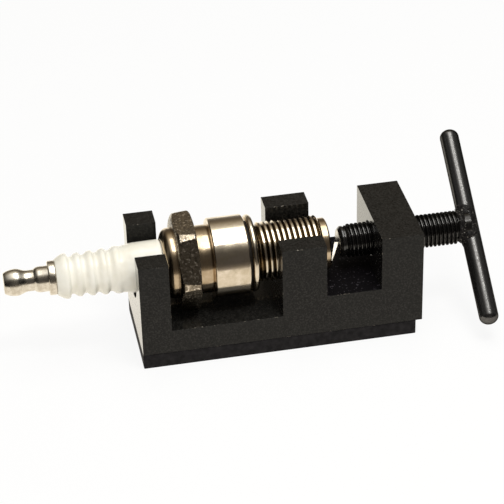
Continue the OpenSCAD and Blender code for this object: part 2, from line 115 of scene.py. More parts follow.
class GapToolSizes(PropertyGroup):
    """Sizes that a maker would change"""

    post_t: length("Post", "Thickness of the slotted post that the plug's shoulder pushes against", 7)
    rest_t: length("Rest", "Thickness of the rest that the plug's thread lies in", 10.5)
    window_l: length("Window", "Length of the window where the gap is worked", 13)
    head_t: length("Head", "Thickness of the head that the screw is tapped through", 9.9)
    pocket_web: length("Pocket web", "Metal under the plug pocket", 6)
    window_web: length("Window web", "Metal under the window", 10)
    post_slot_r: length("Post slot", "Radius of the round bottom of the post's slot", 7)
    rest_slot_r: length("Rest slot", "Radius of the round bottom of the rest's slot", 7.35)
    edge_round: length("Broken edge", "Radius worn on the block's milled edges", 0.3)
    strip_round: length("Strip edge", "Radius on the edges of the strip under the block", 0.25)
    bar_r: length("Bar radius", "Radius of the cross bar", 2.3)
    bar_half: length("Bar half length", "Distance from the screw's axis to each end of the bar", 25)
    hexagon_af: length("Hexagon", "Distance across the flats of the plug's hexagon", 20.8)
    thread_r: length("Plug thread", "Outer radius of the plug's thread", 7)
    thread_pitch: length("Plug pitch", "Distance between turns of the plug's thread", 1.25)
    screw_r: length("Screw thread", "Outer radius of the pressure screw", 4)
    screw_pitch: length("Screw pitch", "Distance between turns of the pressure screw", 1)


class GapToolFinishes(PropertyGroup):
    """Colours that a maker would change"""

    block_dark: tint("Block, dark", "Darkest mottling of the blackened block", "#080807")
    block_light: tint("Block, light", "Lightest mottling of the blackened block", "#292826")
    plate_dark: tint("Plate, dark", "Dull patches of the nickel plate", "#D0C2AA")
    plate_light: tint("Plate, light", "Clean nickel plate", "#E5D9C7")
    glaze_dark: tint("Glaze, warm", "Warm patches of the glazed insulator", "#EFEBDD")
    glaze_light: tint("Glaze, light", "Clean glaze", "#F7F5EC")
    floor: tint("Floor", "Pale floor under the tool", "#F2F1EE")


def deselect():
    """Leaves edit mode with nothing selected, because an operator acts on all that is selected."""
    if bpy.context.mode != "OBJECT":
        bpy.ops.object.mode_set(mode="OBJECT")
    bpy.ops.object.select_all(action="DESELECT")


def activate(piece):
    """Makes a piece the only selected one."""
    deselect()
    piece.select_set(True)
    bpy.context.view_layer.objects.active = piece


def choose(piece, kind, test):
    """Opens a piece in edit mode with the vertices or faces selected that pass a test."""
    activate(piece)
    bpy.ops.object.mode_set(mode="EDIT")
    bpy.ops.mesh.select_mode(type=kind)
    bpy.ops.mesh.select_all(action="DESELECT")
    bpy.ops.object.mode_set(mode="OBJECT")
    for part in piece.data.vertices if kind == "VERT" else piece.data.polygons:
        part.select = bool(test(part))
    bpy.ops.object.mode_set(mode="EDIT")


def close_up(piece):
    """Merges doubles and turns every face outwards."""
    activate(piece)
    bpy.ops.object.mode_set(mode="EDIT")
    bpy.ops.mesh.select_mode(type="VERT")
    bpy.ops.mesh.select_all(action="SELECT")
    bpy.ops.mesh.remove_doubles(threshold=NEAR)
    bpy.ops.mesh.normals_make_consistent(inside=False)
    bpy.ops.object.mode_set(mode="OBJECT")


def modify(piece, kind, **settings):
    """Adds a modifier to a piece, sets it up and applies it."""
    activate(piece)
    bpy.ops.object.modifier_add(type=kind)
    modifier = piece.modifiers[-1]
    for name, value in settings.items():
        setattr(modifier, name, value)
    bpy.ops.object.modifier_apply(modifier=modifier.name)


def combine(piece, tool, operation):
    """Cuts a piece with a tool, adds the tool to it or keeps what both share, and throws the tool away."""
    modify(piece, "BOOLEAN", operation=operation, solver="EXACT", object=tool)
    bpy.data.meshes.remove(tool.data)


def round_edges(piece, width, segments=3, sharper_than=30, material=-1):
    """Rounds every edge that turns by more than an angle."""
    modify(
        piece, "BEVEL", width=width, segments=segments, limit_method="ANGLE",
        angle_limit=math.radians(sharper_than), material=material, use_clamp_overlap=True
    )


def box(name, low, high):
    """A box between two corners."""
    deselect()
    low, high = Vector(low), Vector(high)
    bpy.ops.mesh.primitive_cube_add(size=1, location=(low + high) / 2, scale=high - low)
    bpy.ops.object.transform_apply(location=True, rotation=True, scale=True)
    piece = bpy.context.object
    piece.name = name
    return piece


def rod(name, start, end, radius, end_radius=None, steps=STEPS):
    """A rod or cone on the tool's long axis, between two places along it."""
    deselect()
    bpy.ops.mesh.primitive_cone_add(
        vertices=steps, radius1=radius, radius2=radius if end_radius is None else end_radius,
        depth=end - start, location=((start + end) / 2, 0, AXIS_Z), rotation=(0, math.pi / 2, 0)
    )
    bpy.ops.object.transform_apply(location=True, rotation=True, scale=True)
    piece = bpy.context.object
    piece.name = name
    return piece


def draw_section(name, places):
    """Draws a line of points by extruding one point from place to place."""
    deselect()
    bpy.ops.mesh.primitive_plane_add(size=MM)
    piece = bpy.context.object
    piece.name = name
    bpy.ops.object.mode_set(mode="EDIT")
    bpy.ops.mesh.merge(type="CENTER")
    bpy.ops.transform.translate(value=places[0])
    for here, there in zip(places, places[1:]):
        bpy.ops.mesh.extrude_vertices_move(TRANSFORM_OT_translate={"value": there - here})
    bpy.ops.object.mode_set(mode="OBJECT")
    return piece


def turned(name, points, start, along=X_AXIS, outward=UP, closed=True, steps=STEPS):
    """Turns half a section, given as (station, radius) points, about an axis that runs through start.

    An open section starts and ends on the axis.
    """
    places = [start + along * (station * MM) + outward * (radius * MM) for station, radius in points]
    piece = draw_section(name, places)
    if closed:
        vertices = piece.data.vertices
        ends = {min(vertices, key=lambda v: (v.co - end).length).index for end in (places[0], places[-1])}
        choose(piece, "VERT", lambda v: v.index in ends)
        bpy.ops.mesh.edge_face_add()
    else:
        choose(piece, "VERT", lambda v: True)
    bpy.ops.mesh.select_all(action="SELECT")
    bpy.ops.mesh.spin(steps=steps, angle=math.tau, center=start, axis=along)
    close_up(piece)
    return piece


def axis_point(x):
    """The point on the tool's long axis at a place along it."""
    return Vector((x, 0, AXIS_Z))


def off_axis(point):
    """The distance of a point from the tool's long axis."""
    return math.hypot(point.y, point.z - AXIS_Z)


def eased(share):
    """Goes from 0 to 1 with a soft start and a soft end."""
    share = min(max(share, 0), 1)
    return share * share * (3 - 2 * share)


def threaded(name, start, end, root, crest, pitch, lead_in, lead_out, end_radius, broad, steps=STEPS):
    """A right-hand thread: one pitch of its section is screwed along, with a plain ring at each end.

    Each lead is a plain length and the length over which the thread rises next to it. The ring at the start
    has the root's radius, the one at the end its own. Broad widens the crest, as a share of the pitch.
    """
    rising = [(0, 0), (0.06, 0.02), (0.14, 0.16), (0.26, 0.5), (0.38, 0.86), (0.45, 0.985), (0.5, 1)]
    rising = [(share * (1 - broad), height) for share, height in rising]
    falling = [(1 - share, height) for share, height in reversed(rising)]
    # Spare turns reach past both ends and are pressed flat on them
    before, after = 2, 1
    piece = draw_section(name, [
        Vector((start + (share - before) * pitch, 0, root + (crest - root) * height))
        for share, height in rising + falling
    ])
    piece.location.z = AXIS_Z
    modify(
        piece, "SCREW", axis="X", angle=math.tau, screw_offset=pitch,
        iterations=before + math.ceil((end - start) / pitch) + after,
        steps=steps, render_steps=steps, use_smooth_shade=True
    )
    activate(piece)
    bpy.ops.object.transform_apply(location=True, rotation=True, scale=True)
    (plain_in, rise), (plain_out, fall) = lead_in, lead_out
    for vertex in piece.data.vertices:
        x = vertex.co.x
        spoke = Vector((0, vertex.co.y, vertex.co.z - AXIS_Z))
        fade = eased((x - start - plain_in) / rise) * eased((end - plain_out - x) / fall)
        floor = root + (end_radius - root) * eased((x - end + plain_out + fall) / fall)
        radius = floor + (spoke.length - root) * fade
        vertex.co = axis_point(min(max(x, start), end)) + spoke.normalized() * radius
    close_up(piece)
    return piece


def extend_ring(piece, x, radius, rings, cap=False):
    """Extrudes the open ring at a place through more (place, radius) rings, and can cap the last one."""
    choose(piece, "VERT", lambda v: abs(v.co.x - x) < NEAR)
    for next_x, next_radius in rings:
        bpy.ops.mesh.extrude_region_move(TRANSFORM_OT_translate={"value": (next_x - x, 0, 0)})
        share = next_radius / radius
        bpy.ops.transform.resize(value=(1, share, share), center_override=(next_x, 0, AXIS_Z))
        x, radius = next_x, next_radius
    if cap:
        bpy.ops.mesh.edge_face_add()
    bpy.ops.object.mode_set(mode="OBJECT")


def copy_of(node, name):
    """A new piece with a CAD node's shape, its loose triangles merged."""
    deselect()
    piece = bpy.data.objects.new(name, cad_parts[node].data.copy())
    bpy.context.scene.collection.objects.link(piece)
    piece.data.materials.clear()
    close_up(piece)
    choose(piece, "FACE", lambda face: True)
    bpy.ops.mesh.dissolve_limited(angle_limit=math.radians(1))
    bpy.ops.object.mode_set(mode="OBJECT")
    return piece


def paint_faces(piece, index, test):
    """Gives the faces that pass a test another of the piece's materials."""
    for face in piece.data.polygons:
        if test(face):
            face.material_index = index


def dress(piece, body, slot, materials, *nodes, smooth=32, machined=True):
    """Gives a finished piece its materials, its shading, its body and the nodes that it stands for."""
    for material in materials:
        piece.data.materials.append(material)
    activate(piece)
    bpy.ops.object.shade_smooth_by_angle(angle=math.radians(smooth))
    if machined:
        modify(piece, "WEIGHTED_NORMAL", weight=80, keep_sharp=True)
    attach(piece, body)
    if nodes:
        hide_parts(*nodes)


def add(tree, kind, sockets=None, stops=None, **settings):
    """Adds a node with its settings and colour stops, and sets or links its sockets."""
    node = tree.nodes.new("ShaderNode" + kind)
    for name, value in settings.items():
        setattr(node, name, value)
    if stops:
        elements = node.color_ramp.elements
        while len(elements) > 1:
            elements.remove(elements[-1])
        elements[0].position, elements[0].color = stops[0]
        for place, colour in stops[1:]:
            elements.new(place).color = colour
    for name, value in (sockets or {}).items():
        if isinstance(value, bpy.types.NodeSocket):
            tree.links.new(value, node.inputs[name])
        else:
            node.inputs[name].default_value = value
    return node


def finish(name, dark, light, mottle, metallic, gloss, grain, relief, inward_darkening=None, nicks=None, **shader):
    """A mottled colour, an uneven gloss and a fine relief, with mottle, grain and relief in millimetres.

    Inward darkening (untouched radius, darkest radius, tint, metallic) darkens what lies nearer to the tool's
    long axis; on a thread it is painted shade in the roots.
    Nicks (size, noise value where they start, value where they are full, colour, metallic) are sparse spots.
    """
    material = bpy.data.materials.new(name)
    material.use_nodes = True
    tree = material.node_tree
    tree.nodes.clear()
    place = add(tree, "TexCoord").outputs["Object"]
    cloud = add(tree, "TexNoise", {
        "Vector": place, "Scale": 1 / (mottle * MM), "Detail": 4.0, "Roughness": 0.62
    }).outputs["Fac"]
    base = add(tree, "ValToRGB", {"Fac": cloud}, [(DARK_AT, dark), (LIGHT_AT, light)]).outputs["Color"]
    rough = add(tree, "MapRange", {
        "Value": cloud, "From Min": DARK_AT, "From Max": LIGHT_AT, "To Min": gloss[1], "To Max": gloss[0]
    })
    fine = add(tree, "TexNoise", {
        "Vector": place, "Scale": 1 / (grain * MM), "Detail": 3.0, "Roughness": 0.6
    })
    bump = add(tree, "Bump", {"Height": fine.outputs["Fac"], "Distance": relief * MM, "Strength": 1.0})
    # Darker nearer the axis: on the plug's thread this is painted shade in the roots
    if inward_darkening:
        untouched_r, darkest_r, darkening_tint, darkest_metallic = inward_darkening
        about = add(tree, "Mapping", {"Vector": place, "Location": (0, 0, -AXIS_Z), "Scale": (0, 1, 1)})
        spoke = add(tree, "VectorMath", {0: about.outputs["Vector"]}, operation="LENGTH")
        share = add(tree, "MapRange", {
            "Value": spoke.outputs["Value"], "From Min": untouched_r * MM, "From Max": darkest_r * MM
        }).outputs["Result"]
        base = add(tree, "MixRGB", {0: share, 1: base, 2: darkening_tint}, blend_type="MULTIPLY").outputs[0]
        metallic = add(tree, "MapRange", {
            "Value": share, "To Min": metallic, "To Max": darkest_metallic
        }).outputs["Result"]
    if nicks:
        nick_size, nicks_from, nicks_full, nick_colour, nick_metallic = nicks
        spots = add(tree, "TexNoise", {"Vector": place, "Scale": 1 / (nick_size * MM), "Detail": 2.0})
        share = add(tree, "MapRange", {
            "Value": spots.outputs["Fac"], "From Min": nicks_from, "From Max": nicks_full
        }).outputs["Result"]
        base = add(tree, "MixRGB", {0: share, 1: base, 2: nick_colour}).outputs[0]
        metallic = add(tree, "MapRange", {
            "Value": share, "To Min": metallic, "To Max": nick_metallic
        }).outputs["Result"]
    surface = add(tree, "BsdfPrincipled", {
        "Base Color": base, "Roughness": rough.outputs["Result"], "Normal": bump.outputs["Normal"],
        "Metallic": metallic
    })
    for socket, value in shader.items():
        surface.inputs[socket.replace("_", " ")].default_value = value
    add(tree, "OutputMaterial", {"Surface": surface.outputs["BSDF"]})
    return material


class GAPTOOL_OT_block(Operator):
    """Mill the block: slotted post, pocket, slotted rest, window and tapped head"""

    bl_idname = "gaptool.block"
    bl_label = "Milled block"

    def execute(self, context):
        sizes, finishes = context.scene.gap_tool_sizes, context.scene.gap_tool_finishes
        x_post = block_low.x + sizes.post_t
        x_head = block_high.x - sizes.head_t
        x_window = x_head - sizes.window_l
        x_rest = x_window - sizes.rest_t
        pocket_z = block_low.z + sizes.pocket_web
        window_z = block_low.z + sizes.window_web
        # Cutting tools reach past the block's faces by this much
        over = MM
        front, back, top = block_low.y - over, block_high.y + over, block_high.z + over
        # The tapped hole clears the screw, and both its mouths are sunk at 45 degrees
        bore = sizes.screw_r + 0.05 * MM
        near_sink, far_sink = 0.2 * MM, 0.5 * MM

        # Oiled black oxide on milled steel: a warm charcoal that is pale and glossy where it is seen edge on
        black = finish(
            "black_oxide_milled", finishes.block_dark, finishes.block_light, 0.4, 0.0, (0.2, 0.3), 0.22,
            0.001, Specular_IOR_Level=0.07, Coat_Weight=1.0, Coat_IOR=1.2, Coat_Roughness=0.09
        )
        # Oxide rubbed thin along the edges, with nicks that show bare steel
        worn = finish(
            "black_oxide_worn", finishes.block_dark, finishes.block_light, 0.4, 0.0, (0.35, 0.5), 0.3, 0.004,
            nicks=(1.1, 0.62, 0.68, linear("#A39C90"), 0.9), Specular_IOR_Level=0.15
        )
        # End-milled floor left coarse, with small glints from the tool marks; its near black, darker than the
        # rest of the block, is painted shade under the screw
        coarse_and_shaded = finish(
            "black_oxide_coarse_shaded", linear("#040304"), linear("#0E0C0F"), 0.3, 0.0, (0.45, 0.6), 0.4, 0.05,
            nicks=(0.5, 0.655, 0.71, linear("#5A565C"), 0.8), Specular_IOR_Level=0.06
        )

        block = box("milled_block", block_low, block_high)
        for material in (black, worn, coarse_and_shaded):
            block.data.materials.append(material)
        tools = [
            box("pocket", (x_post, front, pocket_z), (x_rest, back, top)),
            box("window", (x_window, front, window_z), (x_head, back, top)),
            rod("post_round", block_low.x - over, x_post + over, sizes.post_slot_r),
            box(
                "post_slot", (block_low.x - over, -sizes.post_slot_r, AXIS_Z),
                (x_post + over, sizes.post_slot_r, top)
            ),
            rod("rest_round", x_rest - over, x_window + over, sizes.rest_slot_r),
            box(
                "rest_slot", (x_rest - over, -sizes.rest_slot_r, AXIS_Z),
                (x_window + over, sizes.rest_slot_r, top)
            ),
            rod("tapped_hole", x_head - over, block_high.x + over, bore),
            rod("near_sink", x_head - near_sink, x_head + near_sink, bore + 2 * near_sink, bore),
            rod("far_sink", block_high.x - far_sink, block_high.x + far_sink, bore, bore + 2 * far_sink),
        ]
        for tool in tools:
            combine(block, tool, "DIFFERENCE")
        close_up(block)
        round_edges(block, sizes.edge_round, 3, 35, material=1)
        # The window's floor takes the coarse finish, whose near black is painted shade under the screw
        paint_faces(block, 2, lambda face: face.normal.z > 0.9 and abs(face.center.z - window_z) < 0.05 * MM)
        dress(block, "block", "blackened_block", [], "block_body")
        return {"FINISHED"}


class GAPTOOL_OT_base_strip(Operator):
    """Lay the strip that the block stands on"""

    bl_idname = "gaptool.base_strip"
    bl_label = "Base strip"

    def execute(self, context):
        sizes = context.scene.gap_tool_sizes
        # Moulded rubber: matt, near black with a purple cast, faint pores
        rubber = finish(
            "moulded_rubber", linear("#100F11"), linear("#1A181B"), 1.6, 0.0, (0.72, 0.9), 0.3, 0.01,
            Specular_IOR_Level=0.3
        )
        strip = box("rubber_strip", strip_low, strip_high)
        round_edges(strip, sizes.strip_round)
        dress(strip, "block", "rubber_strip", [rubber], "base_strip")
        return {"FINISHED"}


class GAPTOOL_OT_nose(Operator):
    """Turn the loose pad on the screw's tip"""

    bl_idname = "gaptool.nose"
    bl_label = "Pressure nose"

    def execute(self, context):
        # Bare turned steel on the face, which the strap rubs bright
        bright = finish(
            "bare_turned_steel", linear("#B9B4AA"), linear("#DCD8CF"), 1.2, 1.0, (0.2, 0.34), 0.25, 0.004
        )
        # The rest of the pad keeps its oiled black
        black = finish(
            "black_oxide_turned", linear("#0B0A0A"), linear("#181716"), 0.5, 0.0, (0.1, 0.16), 0.3, 0.002,
            IOR=1.65
        )
        nose = turned("turned_nose", [
            (0, 0), (0, 3.0), (0.7, 3.7), (1.3, 3.7), (1.3, 1.5), (4.1, 1.5), (4.46, 1.9), (4.94, 1.9),
            (5.3, 1.5), (5.3, 0)
        ], axis_point(NOSE_X), closed=False, steps=72)
        round_edges(nose, 0.12 * MM, 3, 25)
        paint_faces(nose, 1, lambda face: face.center.x > NOSE_X + 0.06 * MM)
        dress(nose, "nose", "bright_steel", [bright, black], "pressure_nose")
        return {"FINISHED"}


class GAPTOOL_OT_screw(Operator):
    """Cut the pressure screw's thread, shank and nose bore"""

    bl_idname = "gaptool.screw"
    bl_label = "Pressure screw"

    def execute(self, context):
        sizes = context.scene.gap_tool_sizes
        root = sizes.screw_r - THREAD_DEPTH * sizes.screw_pitch
        start, end, shank_end = SCREW_X, SCREW_X + 28.3 * MM, SCREW_X + 30.6 * MM
        # Oiled black oxide: a dark half mirror that only glints along the crests
        oiled = finish(
            "black_oxide_oiled", linear("#3E3D3C"), linear("#555453"), 0.5, 0.95, (0.09, 0.16), 0.2, 0.002,
            Specular_Tint=EDGE_TINT
        )
        screw = threaded(
            "pressure_screw_thread", start, end, root, sizes.screw_r, sizes.screw_pitch,
            (0.15 * MM, 0.8 * MM), (0.3 * MM, 0.8 * MM), root, broad=0.18, steps=72
        )
        extend_ring(screw, end, root, [(shank_end, root)], cap=True)
        # The bore has a narrow mouth and a wider end, which holds the nose's button
        mouth, hold = 1.55 * MM, 1.95 * MM
        extend_ring(screw, start, root, [
            (start, mouth), (start + 2.75 * MM, mouth), (start + 3.1 * MM, hold), (start + 4.4 * MM, hold)
        ], cap=True)
        close_up(screw)
        dress(screw, "screw", "blackened_screw", [oiled], "pressure_screw", smooth=40, machined=False)
        return {"FINISHED"}


class GAPTOOL_OT_t_bar(Operator):
    """Turn the cross bar with its domed ends"""

    bl_idname = "gaptool.t_bar"
    bl_label = "Cross bar"

    def execute(self, context):
        sizes = context.scene.gap_tool_sizes
        # Black oxide on drawn rod: a half gloss that shows one long streak of light
        drawn = finish(
            "black_oxide_drawn", linear("#545352"), linear("#6A6968"), 0.4, 0.93, (0.16, 0.24), 0.25, 0.0012,
            Specular_Tint=EDGE_TINT
        )
        radius, half, dome, rings = sizes.bar_r / MM, sizes.bar_half / MM, 2.0, 12
        angles = [math.pi / 2 * i / rings for i in range(rings + 1)]
        end = [(half - dome + dome * math.cos(a), radius * math.sin(a)) for a in angles]
        points = end + [(-station, r) for station, r in reversed(end)]
        bar = turned(
            "cross_bar", points, axis_point(BAR_X), ALONG_BAR, ACROSS_BAR, closed=False, steps=64
        )
        dress(bar, "screw", "blackened_bar", [drawn], "t_bar")
        return {"FINISHED"}


class GAPTOOL_OT_weld(Operator):
    """Lay the weld bead that joins screw and bar"""

    bl_idname = "gaptool.weld"
    bl_label = "Weld bead"

    def execute(self, context):
        # Scaled weld metal: dull, lumpy and dark, with a few bright beads of spatter
        scale = finish(
            "weld_scale", linear("#0E0D0D"), linear("#211F1E"), 0.7, 0.0, (0.4, 0.55), 0.35, 0.02,
            nicks=(0.35, 0.65, 0.69, linear("#A8A39B"), 0.9), Specular_IOR_Level=0.12
        )
        bead = turned("weld_bead", [
            (27.3, 0), (27.3, 2.6), (27.35, 3.1), (27.5, 3.4), (27.8, 3.6), (28.2, 3.75), (28.6, 3.85),
            (29.0, 3.95), (29.4, 4.05), (29.8, 4.1), (30.2, 4.1), (30.55, 4.0), (30.8, 3.8), (30.9, 3.4),
            (30.9, 2.4), (30.9, 0)
        ], axis_point(SCREW_X), closed=False)
        # It starts round on the screw and ends long and narrow on the bar
        flare_start, flare_length, squeeze, spread = SCREW_X + 28.2 * MM, 2.6 * MM, 0.5, 0.25
        for vertex in bead.data.vertices:
            narrow = 1 - squeeze * eased((vertex.co.x - flare_start) / flare_length)
            arm = vertex.co - axis_point(vertex.co.x)
            vertex.co += ACROSS_BAR * (arm.dot(ACROSS_BAR) * (narrow - 1)) + ALONG_BAR * (
                arm.dot(ALONG_BAR) * (1 - narrow) * spread)
        # It runs on round the bar and thins out along it, and sits a little on the screw's side
        wrap = [(5.4, 0), (5.4, 1.8), (4.9, 2.05), (4.3, 2.25), (3.6, 2.38), (2.8, 2.46), (2.0, 2.5)]
        sleeve = turned(
            "weld_wrap", [(-station, r) for station, r in wrap] + [(0, 2.52)] + wrap[::-1],
            axis_point(BAR_X - 0.25 * MM), ALONG_BAR, ACROSS_BAR, closed=False, steps=72
        )
        combine(bead, sleeve, "UNION")
        modify(bead, "REMESH", mode="VOXEL", voxel_size=0.16 * MM)
        modify(bead, "SMOOTH", factor=0.6, iterations=14)
        close_up(bead)
        # Lumps as (size, height) in millimetres, which all but vanish on the bar's far side
        lumps, calmed = ((1.3, 0.36), (0.55, 0.2)), 0.85
        for vertex in bead.data.vertices:
            arm = vertex.co - axis_point(BAR_X)
            spoke = arm - ALONG_BAR * arm.dot(ALONG_BAR)
            far_side = eased(spoke.normalized().x * 2.5 - 0.5)
            lump = sum(noise.noise(vertex.co / (size * MM)) * height for size, height in lumps)
            vertex.co += vertex.normal * (lump * (1 - calmed * far_side) * MM)
        dress(bead, "screw", "blackened_weld", [scale], "weld_fillet", smooth=70, machined=False)
        return {"FINISHED"}


def nickel(finishes, name, gloss, inward_darkening=None):
    """Bright nickel over steel: a warm mirror, clouded in patches."""
    return finish(name, finishes.plate_dark, finishes.plate_light, 2.6, 1.0, gloss, 0.9, 0.0015, inward_darkening)


class GAPTOOL_OT_plug_shell(Operator):
    """Turn the plug's shell, with its hexagon and its thread"""

    bl_idname = "gaptool.plug_shell"
    bl_label = "Plug shell"

    def execute(self, context):
        sizes, finishes = context.scene.gap_tool_sizes, context.scene.gap_tool_finishes
        # The plate is darker on the collars and inside the shell, which lie nearer the axis than the barrel
        plate = nickel(finishes, "nickel_plate", (0.12, 0.24), (8.7, 8.4, linear("#DCD2C4"), 1.0))
        # Nickel over the forged flats of the hexagon: duller, with a coarse skin that breaks up reflections
        forged = finish(
            "nickel_over_forging", linear("#5A5145"), linear("#A39784"), 0.7, 1.0, (0.24, 0.36), 0.55, 0.014,
            nicks=(0.6, 0.56, 0.68, finishes.plate_light, 1.0)
        )
        start = axis_point(PLUG_X)
        shell = turned("shell_body", [
            (0.8, 5.53), (0.3, 5.53), (0.08, 5.66), (0.0, 5.9), (0.04, 6.2), (0.14, 6.6), (0.33, 7.1),
            (0.6, 7.55), (0.95, 7.9), (1.35, 8.14), (1.8, 8.28), (2.3, 8.3), (5.35, 8.3), (5.35, 7.85),
            (7.8, 7.85), (8.3, 7.95), (8.9, 8.0), (10.5, 8.0), (11.0, 7.92), (11.3, 7.8), (11.3, 9.15),
            (11.55, 9.4), (19.37, 9.4), (19.51, 9.26), (19.55, 9.0), (19.55, 7.6), (20.2, 7.6), (20.2, 6.0),
            (37.0, 6.0), (37.4, 6.2), (38.9, 6.2), (39.2, 5.9), (39.2, 4.8), (33.8, 4.8), (33.0, 3.7),
            (30.6, 3.7), (30.6, 4.8), (19.2, 4.8), (17.73, 6.9), (0.8, 6.9)
        ], start)
        round_edges(shell, 0.09 * MM, 2, 28)
        # The floor of the groove behind the gasket is near black and matt: painted shade of the deep groove
        groove_shade = finish(
            "painted_shade_in_groove", linear("#0B0907"), linear("#1D1813"), 0.8, 0.0, (0.5, 0.65), 0.4, 0.01
        )
        groove_x, half_width, lip_r = PLUG_X + 19.9 * MM, 0.4 * MM, 8.1 * MM
        paint_faces(shell, 1, lambda face: (
            abs(face.center.x - groove_x) < half_width and off_axis(face.center) < lip_r
        ))
        dress(shell, "plug", "nickel_plate", [plate, groove_shade], "plug_shell")

        left, right = 2.9, 7.8
        hexagon = rod(
            "shell_hexagon", PLUG_X + left * MM, PLUG_X + right * MM, sizes.hexagon_af / math.sqrt(3), steps=6
        )
        combine(hexagon, turned("hexagon_turning", [
            (left, 7.0), (left, 10.0), (3.0, 10.35), (3.3, 11.0), (3.7, 11.42), (4.4, 11.52), (7.0, 11.7),
            (7.35, 11.6), (7.65, 11.1), (right, 10.2), (right, 7.0)
        ], start, steps=192), "INTERSECT")
        close_up(hexagon)
        round_edges(hexagon, 0.14 * MM, 3, 20)
        dress(hexagon, "plug", "nickel_plate", [forged], smooth=24)

        root = sizes.thread_r - THREAD_DEPTH * sizes.thread_pitch
        first, last = PLUG_X + 21.5 * MM, PLUG_X + 37.7 * MM
        last_r, inside_r = 6.15 * MM, 5.6 * MM
        # Nickel with painted shade in the roots of the thread: below the crests it is tinted dark brown
        cut = nickel(finishes, "nickel_on_cut_thread", (0.1, 0.2), (6.72, 6.4, linear("#57492F"), 1.0))
        thread = threaded(
            "shell_thread", first, last, root, sizes.thread_r, sizes.thread_pitch,
            (0.55 * MM, 0.8 * MM), (0.1 * MM, 0.7 * MM), last_r, broad=0.32
        )
        # It is a tube, so both ends are drawn in and joined inside the wall of the shell's body
        extend_ring(thread, first, root, [(first, inside_r)])
        extend_ring(thread, last, last_r, [(last, inside_r)])
        choose(thread, "VERT", lambda v: off_axis(v.co) < inside_r + 0.1 * MM)
        bpy.ops.mesh.bridge_edge_loops()
        close_up(thread)
        dress(thread, "plug", "nickel_plate", [cut], smooth=40, machined=False)
        return {"FINISHED"}


class GAPTOOL_OT_gasket(Operator):
    """Fold the seat gasket"""

    bl_idname = "gaptool.gasket"
    bl_label = "Gasket"

    def execute(self, context):
        finishes = context.scene.gap_tool_finishes
        # Nickel on pressed sheet: a little duller than on the turned shell
        folded = nickel(finishes, "folded_gasket_plate", (0.16, 0.26))
        thickness = 1.5
        half = [
            (0.25, 6.27), (0.05, 6.55), (0, 7.0), (0, 8.3), (0.03, 8.55), (0.1, 8.75), (0.22, 8.92),
            (0.38, 9.03), (0.56, 9.09)
        ]
        mirrored = [(thickness - station, radius) for station, radius in reversed(half)]
        gasket = turned("folded_gasket", half + [(thickness / 2, 9.1)] + mirrored, axis_point(GASKET_X))
        dress(gasket, "plug", "gasket_steel", [folded], "gasket", smooth=45)
        return {"FINISHED"}


class GAPTOOL_OT_insulator(Operator):
    """Turn the ribbed ceramic insulator"""

    bl_idname = "gaptool.insulator"
    bl_label = "Insulator"

    def execute(self, context):
        finishes = context.scene.gap_tool_finishes
        # Glazed alumina: a warm white body under a clear wet gloss
        glaze = finish(
            "glazed_alumina", finishes.glaze_dark, finishes.glaze_light, 6.0, 0.0, (0.12, 0.2), 1.5, 0.006,
            Specular_IOR_Level=0.35, Coat_Weight=0.2, Coat_Roughness=0.06
        )
        skirt, pitch, depth, ribs = -22.2, 2.95, 0.8, 4
        radii = [5.3] + [5.1 + 0.15 * i for i in range(ribs)]
        # Shares of the pitch and of the depth, down into a groove and up to the next rib
        fall = [(0, 0), (0.06, 0.1), (0.13, 0.45), (0.185, 0.75), (0.24, 0.92)]
        rise = [
            (0.29, 0.98), (0.34, 1.0), (0.395, 0.97), (0.45, 0.9), (0.515, 0.74), (0.58, 0.55), (0.64, 0.37),
            (0.7, 0.22), (0.75, 0.13), (0.8, 0.06), (0.86, 0.015)
        ]
        outside = [
            (-24.8, 1.9), (-24.8, 4.05), (-24.75, 4.2), (-24.6, 4.3), (-24.2, 4.56), (-23.6, 4.93),
            (-23.2, 5.12), (-22.9, 5.22), (-22.55, 5.29)
        ]
        # Each groove falls from one rib's radius and changes over to the next one's on the way down
        change = 0.15
        for i, (here, after) in enumerate(zip(radii, radii[1:])):
            at = skirt + i * pitch
            outside += [
                (at + share * pitch, (here if share < change else after) - drop * depth)
                for share, drop in fall
            ]
            outside += [(at + share * pitch, after - drop * depth) for share, drop in rise]
        last = skirt + ribs * pitch
        outside += [
            (last, 5.55), (last + 0.18, 5.53), (last + 0.35, 5.48), (last + 0.55, 5.43), (last + 0.8, 5.4),
            (last + 1.3, 5.43), (last + 2.0, 5.54), (last + 2.9, 5.72), (last + 3.8, 5.84), (-4.5, 5.88),
            (-1.0, 5.9), (-0.35, 5.9), (-0.2, 5.8), (-0.1, 5.47), (6.6, 5.47), (6.6, 6.5), (6.9, 6.8),
            (15.6, 6.8), (17.1, 4.65), (30.1, 4.65), (30.1, 3.67), (31.6, 3.67), (38.8, 2.5), (39.2, 2.1),
            (39.2, 1.28), (26.6, 1.28), (26.2, 1.9)
        ]
        insulator = turned("ribbed_insulator", outside, axis_point(PLUG_X))
        dress(insulator, "plug", "white_glaze", [glaze], "insulator", smooth=50, machined=False)
        return {"FINISHED"}


